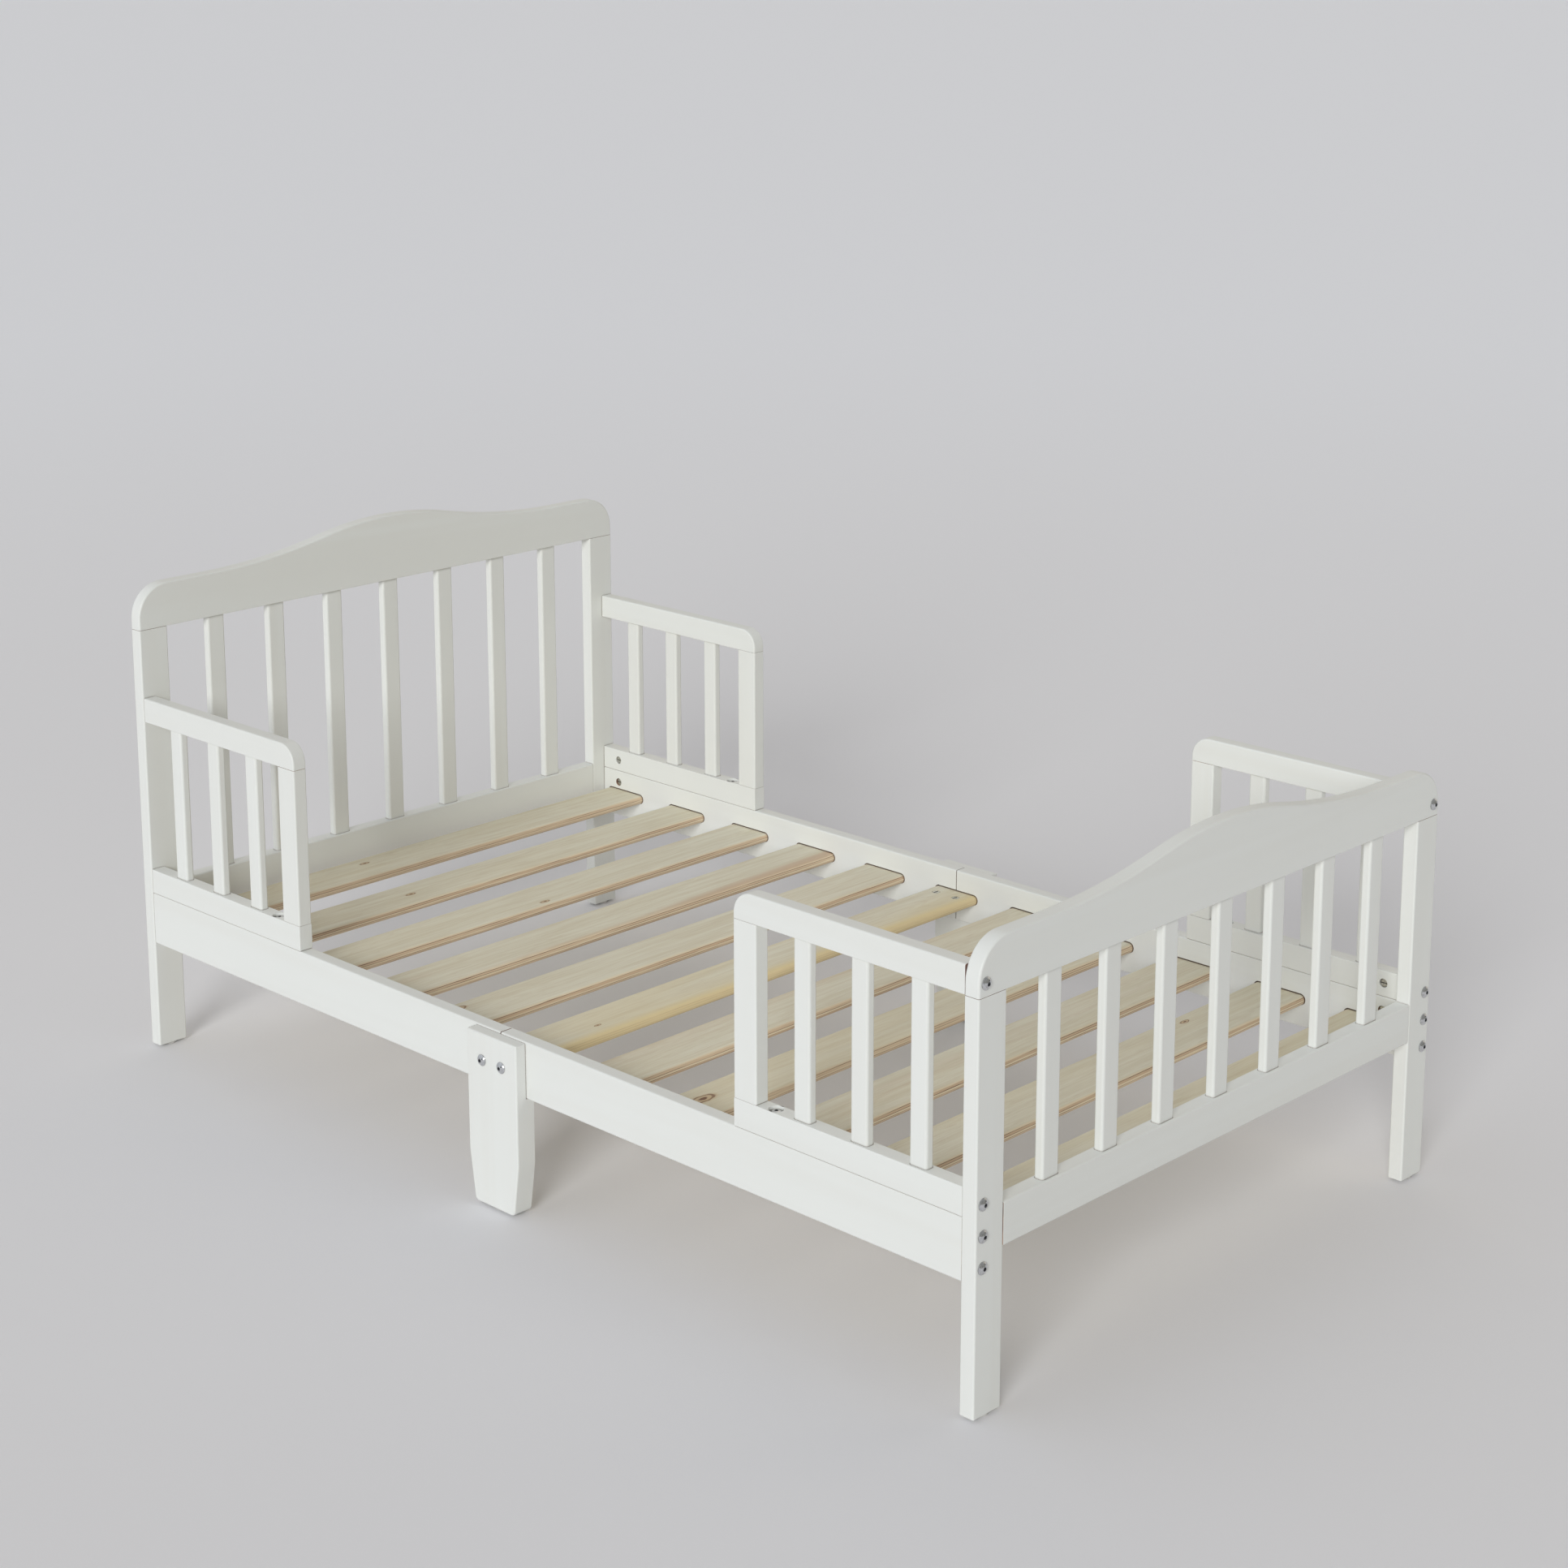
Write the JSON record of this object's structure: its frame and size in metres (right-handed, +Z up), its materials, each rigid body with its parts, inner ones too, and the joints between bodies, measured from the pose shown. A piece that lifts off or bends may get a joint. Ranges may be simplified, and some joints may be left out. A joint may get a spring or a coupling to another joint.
{
  "type": "toddler bed",
  "caption": "Low toddler bed in white-painted wood: camel-back slatted headboard and footboard, short corner guards, a slat base let into split side rails, and centre legs.",
  "frame": {"origin": "on the floor, under the middle of the bed", "axes": "+X along the bed from the headboard to the footboard, +Y across the bed, +Z up"},
  "size_m": [1.3668, 0.8108, 0.6259],
  "materials": {
    "white_wood": "satin white paint on hardwood, soft rounded edges",
    "slat_wood": "bare pale plywood, sanded, tan plies on the edges",
    "bolt_steel": "bright plated steel",
    "nut_steel": "dull yellowish zinc plate",
    "dowel_wood": "bare beech",
    "glide_plastic": "matt off-white plastic"
  },
  "bodies": {
    "root": {"head_post_near": "white_wood", "head_post_far": "white_wood", "headboard_top_rail": "white_wood", "headboard_lower_rail": "white_wood", "headboard_spindle_1": "white_wood", "headboard_spindle_2": "white_wood", "headboard_spindle_3": "white_wood", "headboard_spindle_4": "white_wood", "headboard_spindle_5": "white_wood", "headboard_spindle_6": "white_wood", "headboard_spindle_7": "white_wood", "foot_post_near": "white_wood", "foot_post_far": "white_wood", "footboard_top_rail": "white_wood", "footboard_lower_rail": "white_wood", "footboard_spindle_1": "white_wood", "footboard_spindle_2": "white_wood", "footboard_spindle_3": "white_wood", "footboard_spindle_4": "white_wood", "footboard_spindle_5": "white_wood", "footboard_spindle_6": "white_wood", "footboard_spindle_7": "white_wood", "side_rail_head_near": "white_wood", "guard_bottom_rail_head_near": "white_wood", "guard_end_post_head_near": "white_wood", "guard_top_rail_head_near": "white_wood", "guard_spindles_head_near": "white_wood", "side_rail_head_far": "white_wood", "guard_bottom_rail_head_far": "white_wood", "guard_end_post_head_far": "white_wood", "guard_top_rail_head_far": "white_wood", "guard_spindles_head_far": "white_wood", "side_rail_foot_near": "white_wood", "guard_bottom_rail_foot_near": "white_wood", "guard_end_post_foot_near": "white_wood", "guard_top_rail_foot_near": "white_wood", "guard_spindles_foot_near": "white_wood", "side_rail_foot_far": "white_wood", "guard_bottom_rail_foot_far": "white_wood", "guard_end_post_foot_far": "white_wood", "guard_top_rail_foot_far": "white_wood", "guard_spindles_foot_far": "white_wood", "slat_01": "slat_wood", "slat_02": "slat_wood", "slat_03": "slat_wood", "slat_04": "slat_wood", "slat_05": "slat_wood", "slat_06": "slat_wood", "slat_07": "slat_wood", "slat_08": "slat_wood", "slat_09": "slat_wood", "slat_10": "slat_wood", "slat_11": "slat_wood", "centre_leg_near": "white_wood", "centre_leg_far": "white_wood", "connector_bolts": "bolt_steel", "barrel_nuts": "nut_steel", "guard_screws": "bolt_steel", "wood_dowels": "dowel_wood", "floor_glides": "glide_plastic"}
  },
  "joints": []
}
